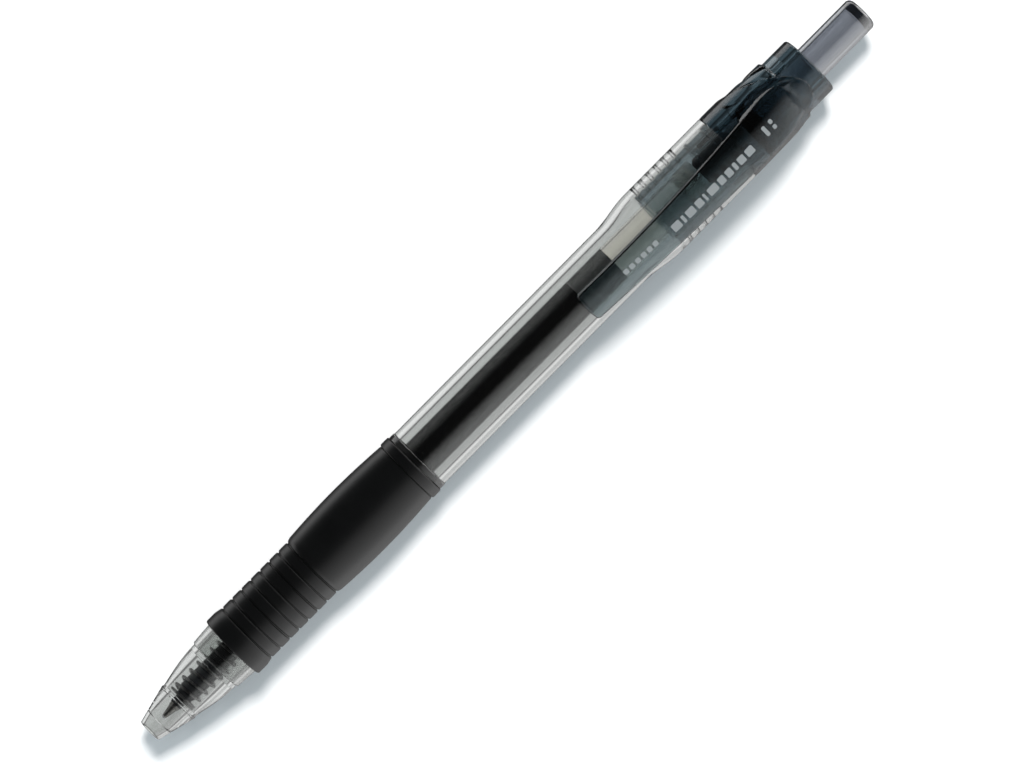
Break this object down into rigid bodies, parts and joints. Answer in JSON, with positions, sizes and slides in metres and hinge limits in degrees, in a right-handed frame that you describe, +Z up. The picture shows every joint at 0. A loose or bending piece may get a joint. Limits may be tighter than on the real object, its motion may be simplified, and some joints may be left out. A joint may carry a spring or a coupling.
{
  "type": "retractable gel pen",
  "caption": "Retractable gel pen with a clear barrel and nose, a grooved rubber grip, a smoky cap with a pocket clip, and a push button that works a rotating cam.",
  "frame": {"origin": "on the surface that the pen lies on, under the middle of its length", "axes": "+X along the pen from the nose to the push button, +Z up with the clip on top, +Y across"},
  "size_m": [0.145, 0.0116, 0.0135],
  "materials": {
    "clear_plastic": "clear, polished",
    "grip_rubber": "soft matt rubber",
    "smoky_plastic": "smoky, see-through, polished",
    "clip_plastic": "smoky, see-through, polished",
    "button_plastic": "light smoky, polished",
    "cam_plastic": "moulded",
    "spring_steel": "drawn wire",
    "holder_plastic": "moulded, see-through, dark with ink",
    "nib_steel": "turned",
    "ball_carbide": "ground ball",
    "tube_plastic": "see-through tube",
    "gel_ink": "wet black gel",
    "follower_grease": "cloudy grease",
    "plug_plastic": "moulded"
  },
  "bodies": {
    "housing": {"nose_cone": "clear_plastic", "barrel": "clear_plastic", "grip": "grip_rubber", "cap": "smoky_plastic", "spring": "spring_steel"},
    "clip": {"clip": "clip_plastic"},
    "push_button": {"push_button": "button_plastic"},
    "rotor": {"rotor": "cam_plastic"},
    "refill": {"nib_holder": "holder_plastic", "nib": "nib_steel", "ball": "ball_carbide", "refill_tube": "tube_plastic", "ink": "gel_ink", "follower": "follower_grease", "tail_plug": "plug_plastic"}
  },
  "joints": [
    {"name": "button_press", "type": "slide", "parent": "housing", "child": "push_button", "axis": [-1, 0, 0], "range_m": [0, 0.0063], "stiffness_N_per_m": 250, "springref_m": -0.004, "deforming": ["spring"]},
    {"name": "refill_feed", "type": "slide", "parent": "housing", "child": "refill", "axis": [-1, 0, 0], "range_m": [0, 0.0063]},
    {"name": "cam_turn", "type": "hinge", "parent": "push_button", "child": "rotor", "pos_m": [0.0435, 0, 0.00576], "axis": [1, 0, 0], "range_deg": [0, 22.5]},
    {"name": "clip_flex", "type": "hinge", "parent": "housing", "child": "clip", "pos_m": [0.0489, 0, 0.01228], "axis": [0, 1, 0], "range_deg": [0, 5], "stiffness_Nm_per_rad": 0.5}
  ],
  "couplings": [
    {"joint": "refill_feed", "follows": "button_press", "ratio": 1},
    {"joint": "cam_turn", "follows": "button_press", "rad_per_m": 62.3}
  ]
}
